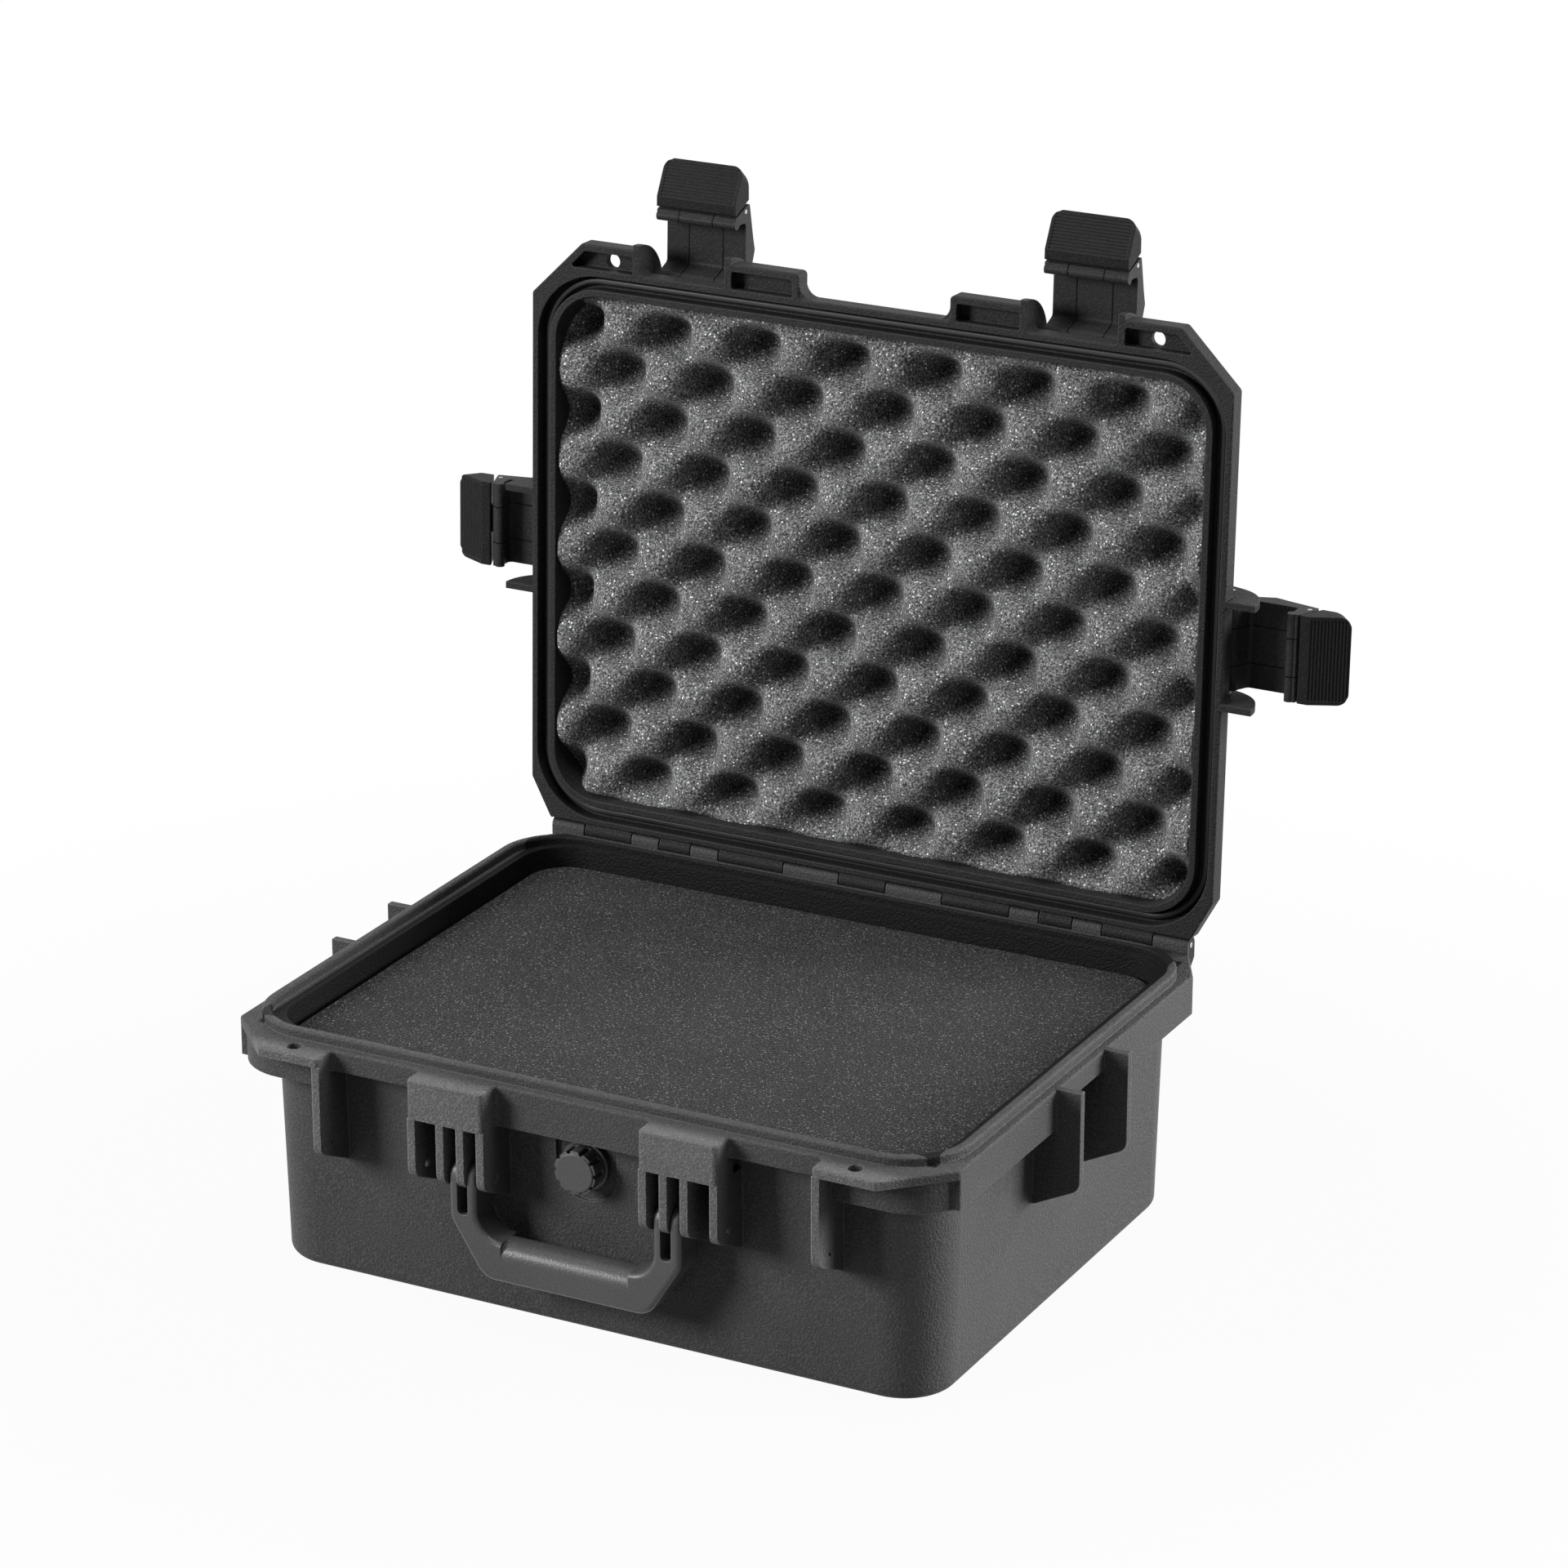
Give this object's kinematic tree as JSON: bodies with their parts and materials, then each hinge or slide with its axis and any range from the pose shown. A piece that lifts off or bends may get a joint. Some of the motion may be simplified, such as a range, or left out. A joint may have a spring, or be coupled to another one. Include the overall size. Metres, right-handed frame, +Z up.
{
  "type": "protective case",
  "caption": "Hard plastic carrying case with a hinged lid, hook latches, folding handle, pressure valve, rim seal and foam inside, shown open.",
  "frame": {"origin": "centre of the flat underside of the base", "axes": "+Z up from the underside; +X along the hinge to the right; -Y towards the front with the handle"},
  "size_m": [0.5304, 0.3826, 0.5141],
  "materials": {
    "shell_plastic": "matte",
    "moving_plastic": "satin",
    "valve_plastic": "satin",
    "seal_rubber": "matte",
    "foam": "matte",
    "steel": "satin"
  },
  "bodies": {
    "base": {"base_shell": "shell_plastic", "base_foam_pad": "foam", "base_foam_lower": "foam", "base_foam_upper": "foam", "hinge_pin": "steel", "handle_pin_left": "steel", "handle_pin_right": "steel", "valve_body": "valve_plastic", "valve_seal": "seal_rubber", "valve_nut": "valve_plastic"},
    "valve_knob": {"valve_knob": "valve_plastic"},
    "handle": {"handle": "moving_plastic"},
    "lid": {"lid_shell": "shell_plastic", "lid_seal": "seal_rubber", "lid_foam": "foam", "latch_pin_front_left": "steel", "latch_pin_front_right": "steel", "latch_pin_side_left": "steel", "latch_pin_side_right": "steel"},
    "latch_front_left": {"latch_arm_front_left": "moving_plastic", "release_pin_front_left": "steel", "release_spring_front_left": "steel"},
    "release_front_left": {"release_pad_front_left": "moving_plastic"},
    "latch_front_right": {"latch_arm_front_right": "moving_plastic", "release_pin_front_right": "steel", "release_spring_front_right": "steel"},
    "release_front_right": {"release_pad_front_right": "moving_plastic"},
    "latch_side_left": {"latch_arm_side_left": "moving_plastic", "release_pin_side_left": "steel", "release_spring_side_left": "steel"},
    "release_side_left": {"release_pad_side_left": "moving_plastic"},
    "latch_side_right": {"latch_arm_side_right": "moving_plastic", "release_pin_side_right": "steel", "release_spring_side_right": "steel"},
    "release_side_right": {"release_pad_side_right": "moving_plastic"}
  },
  "joints": [
    {"name": "lid_hinge", "type": "hinge", "parent": "base", "child": "lid", "pos_m": [0, 0.1584, 0.1366], "axis": [1, 0, 0], "range_deg": [0, 91.9]},
    {"name": "handle_fold", "type": "hinge", "parent": "base", "child": "handle", "pos_m": [0, -0.1613, 0.0813], "axis": [-1, 0, 0], "range_deg": [0, 95]},
    {"name": "valve_turn", "type": "hinge", "parent": "base", "child": "valve_knob", "pos_m": [0, -0.1443, 0.0928], "axis": [0, -1, 0], "range_deg": [0, 270]},
    {"name": "latch_front_left_swing", "type": "hinge", "parent": "lid", "child": "latch_front_left", "pos_m": [-0.11375, 0.18488, 0.44919], "axis": [1, 0, 0], "range_deg": [0, 90]},
    {"name": "release_front_left_flip", "type": "hinge", "parent": "latch_front_left", "child": "release_front_left", "pos_m": [-0.11375, 0.19262, 0.48956], "axis": [-1, 0, 0], "range_deg": [0, 15], "stiffness_Nm_per_rad": 0.01, "springref_deg": -28.65},
    {"name": "latch_front_right_swing", "type": "hinge", "parent": "lid", "child": "latch_front_right", "pos_m": [0.11375, 0.18488, 0.44919], "axis": [1, 0, 0], "range_deg": [0, 90]},
    {"name": "release_front_right_flip", "type": "hinge", "parent": "latch_front_right", "child": "release_front_right", "pos_m": [0.11375, 0.19262, 0.48956], "axis": [-1, 0, 0], "range_deg": [0, 15], "stiffness_Nm_per_rad": 0.01, "springref_deg": -28.65},
    {"name": "latch_side_left_swing", "type": "hinge", "parent": "lid", "child": "latch_side_left", "pos_m": [-0.2001, 0.17987, 0.29818], "axis": [0, 0.0332, 0.9995], "range_deg": [0, 90]},
    {"name": "release_side_left_flip", "type": "hinge", "parent": "latch_side_left", "child": "release_side_left", "pos_m": [-0.2407, 0.18626, 0.29796], "axis": [0, -0.0332, -0.9995], "range_deg": [0, 15], "stiffness_Nm_per_rad": 0.01, "springref_deg": -28.65},
    {"name": "latch_side_right_swing", "type": "hinge", "parent": "lid", "child": "latch_side_right", "pos_m": [0.2001, 0.17987, 0.29818], "axis": [0, -0.0332, -0.9995], "range_deg": [0, 90]},
    {"name": "release_side_right_flip", "type": "hinge", "parent": "latch_side_right", "child": "release_side_right", "pos_m": [0.2407, 0.18626, 0.29796], "axis": [0, 0.0332, 0.9995], "range_deg": [0, 15], "stiffness_Nm_per_rad": 0.01, "springref_deg": -28.65}
  ]
}
